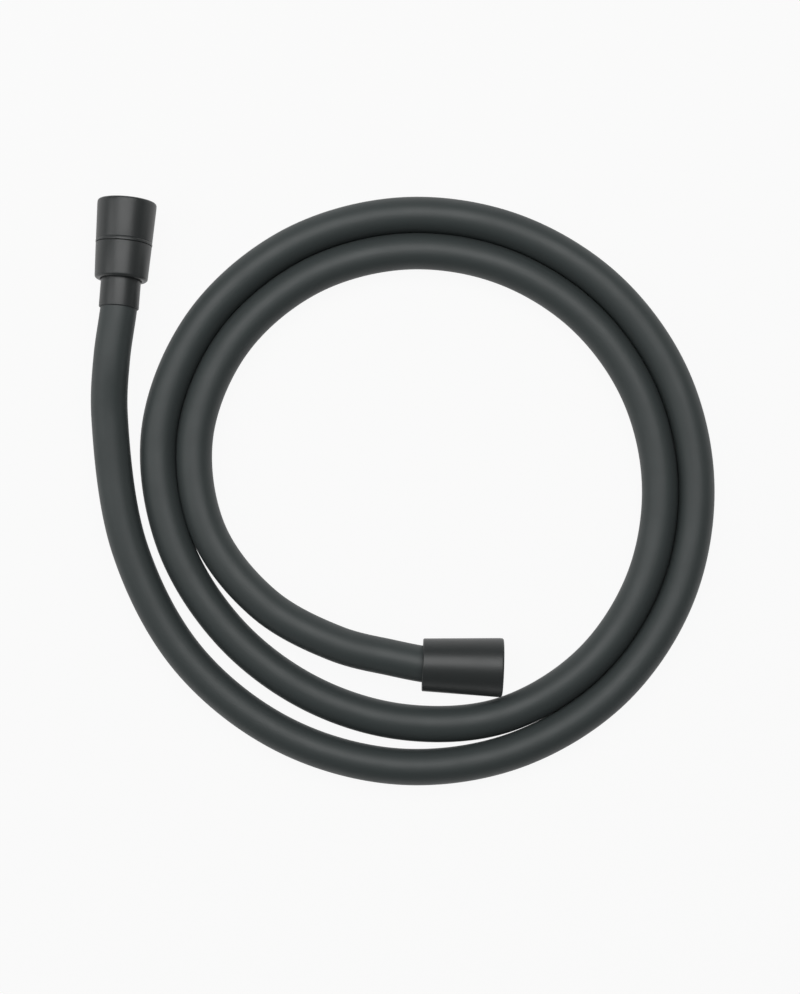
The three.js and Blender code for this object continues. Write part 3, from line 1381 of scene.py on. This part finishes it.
@dataclass
class Studio:
    """The camera, the pale floor and the soft lamps.

    Attributes:
        camera_at: Where the camera is, looking straight down.
        focal_pixels: Its focal length in pixels of the photograph's frame.
        floor_size: How wide the floor is.
        floor_colour: Its sRGB colour under the lamps.
        floor_white: The share of plain white in what the camera and mirrors see of it.
        lamps: The lamps.
        lamps_face: The point that they face, near the middle of the hose.
        pale_up_to: How high above the horizon, as a sine, the room shows white.
        dim_from: From what height on the room is dim.
        dim: How bright it is there.
    """

    camera_at: tuple[float, float, float] = (0.0399, -0.01949, 0.840)
    focal_pixels: float = 2082.0
    floor_size: float = 80.0
    floor_colour: str = "#b4b4b2"
    floor_white: float = 0.93
    lamps: tuple[Lamp, ...] = (
        Lamp("key lamp", at=(0.05, 0.5, 1.38), size=(1.6, 0.95), watts=17.5),
        Lamp("left lamp", at=(-1.2, 0.1, 1.0), size=(0.9, 0.9), watts=6.0),
    )
    lamps_face: tuple[float, float, float] = (0.04, -0.02, 0.0)
    pale_up_to: float = 0.04
    dim_from: float = 0.18
    dim: float = 0.05

    def camera(self) -> None:
        """Makes the camera that has the photograph's view."""
        data = bpy.data.cameras.new("camera")
        data.sensor_width = SENSOR
        data.sensor_fit = "AUTO"
        data.lens = self.focal_pixels / IMAGE_HEIGHT * SENSOR
        data.clip_end = 2 * self.floor_size
        camera = bpy.data.objects.new("camera", data)
        camera.location = self.camera_at
        bpy.context.scene.collection.objects.link(camera)
        bpy.context.scene.camera = camera

    def floor(self) -> None:
        """Lays the floor, which shows white to the camera and keeps the shadow."""
        select_only()
        bpy.ops.mesh.primitive_plane_add(size=self.floor_size)
        floor = bpy.context.active_object
        floor.name = "floor"
        # Laminate, pressed smooth: an even white that shows a soft shadow.
        material = bpy.data.materials.new("white laminate, plain")
        material.use_nodes = True
        tree = material.node_tree
        tree.nodes.remove(tree.nodes["Principled BSDF"])
        lit = add(material, "BsdfDiffuse", Color=srgb(self.floor_colour))
        white = add(material, "Emission", Color=WHITE, Strength=1.0)
        rays = add(material, "LightPath").outputs
        seen = rays["Is Camera Ray"]
        for ray in ("Is Glossy Ray", "Is Transmission Ray"):
            either = add(material, "Math", {0: seen, 1: rays[ray]}, operation="MAXIMUM")
            seen = either.outputs[0]
        share = add(material, "Math", {0: seen}, operation="MULTIPLY")
        share.inputs[1].default_value = self.floor_white
        parts = {0: share.outputs[0], 1: lit.outputs[0], 2: white.outputs[0]}
        mix = add(material, "MixShader", parts)
        tree.links.new(mix.outputs[0], tree.nodes["Material Output"].inputs["Surface"])
        floor.data.materials.append(material)

    def light(self) -> None:
        """Hangs the lamps and sets the room's own pale light."""
        for lamp in self.lamps:
            lamp.hang(Vector(self.lamps_face))
        world = bpy.data.worlds.new("studio")
        world.use_nodes = True
        direction = add(world, "TexCoord").outputs["Generated"]
        height = add(world, "SeparateXYZ", {"Vector": direction}).outputs["Z"]
        pale = add(
            world,
            "MapRange",
            {"Value": height},
            From_Min=self.pale_up_to,
            From_Max=self.dim_from,
            To_Min=1.0,
            To_Max=self.dim,
        )
        background = world.node_tree.nodes["Background"]
        background.inputs["Color"].default_value = WHITE
        world.node_tree.links.new(pale.outputs["Result"], background.inputs["Strength"])
        bpy.context.scene.world = world
        bpy.context.scene.view_settings.view_transform = "Standard"


def make_wardrobe(swivel: SwivelEnd, cone: ConeEnd) -> Wardrobe:
    """Builds every finish.

    Args:
        swivel: The swivel end, whose axis the turned brass follows.
        cone: The cone nut's end, likewise.

    Returns:
        The materials.
    """
    # Plasticised PVC, extruded with a matt skin: a soft, broad sheen on a near-black blue-grey.
    hose = ExtrudedFinish("matt PVC, extruded", "#3a4040", "#343a3a", 0.52, 0.03)
    # Brass with a baked matt black coat: a tighter highlight than the hose, faint orange peel.
    coated = Finish("matt black coated brass", "#2f3232", "#2c2f2f", 0.40, 0.03, grain=0.9 * MM)
    # EPDM rubber, moulded: dull, slightly brown black.
    rubber = Finish("EPDM rubber, moulded", "#1d1d1d", "#242423", 0.72, 0.06, grain=0.3 * MM)
    # Spring steel, stamped and tumbled: bright grey with soft edges.
    spring = Finish("spring steel, tumbled", "#a9acae", "#9c9fa1", 0.32, 0.06, 1.0, grain=0.4 * MM)
    brass = {}
    for key, end in (("swivel", swivel), ("cone", cone)):
        to_axis = end.cone.place.inverted()
        # Free-cutting brass, turned: fine rings from the tool, warm yellow.
        brass[key] = TurnedFinish(
            "turned brass, " + key,
            "#c9a866",
            "#bf9c5a",
            0.28,
            0.05,
            1.0,
            axis_angles=tuple(to_axis.to_euler("XYZ")),
            axis_shift=tuple(to_axis.translation),
        ).build()
    return Wardrobe(hose.build(), coated.build(), rubber.build(), spring.build(), brass)


def dress_hidden_nodes(wardrobe: Wardrobe) -> None:
    """Gives the pieces that stay inside the swivel their real finish.

    Args:
        wardrobe: The finished materials.
    """
    finishes = {
        "spigot_o_ring_front": wardrobe.rubber,
        "spigot_o_ring_rear": wardrobe.rubber,
        "snap_ring": wardrobe.spring,
        "swivel_housing": wardrobe.brass["swivel"],
    }
    for name, material in finishes.items():
        node = frame["nodes"][name]
        for slot in node.material_slots:
            slot.material = material
        log.info("%s keeps its solid, in %s", name, material.name)


def main() -> None:
    """Builds the studio, the hose and both fittings."""
    logging.basicConfig(level=logging.INFO, format="%(name)s: %(message)s")
    studio = Studio()
    studio.camera()
    swivel = SwivelEnd(Cone(mouth=(-0.0686, 0.09786, 266.1), climb=5.0))
    cone = ConeEnd(Cone(mouth=(0.0808, -0.0874, 177.9)))
    wardrobe = make_wardrobe(swivel, cone)

    shape = Hose()
    route = HoseRoute().points(cone.straight_run(), swivel.straight_run())
    line = catmull_rom(route, shape.spacing)
    hose = shape.build(line)
    hose.data.materials.append(wardrobe.hose)
    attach(hose, "hose")
    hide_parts("hose_tube")
    log.info("hose, %.3f m along its middle", length_of(line))

    pieces = {piece.name: piece for end in (swivel, cone) for piece in end.build(wardrobe)}
    dress_hidden_nodes(wardrobe)
    studio.floor()
    studio.light()


if __name__ == "__main__":
    main()
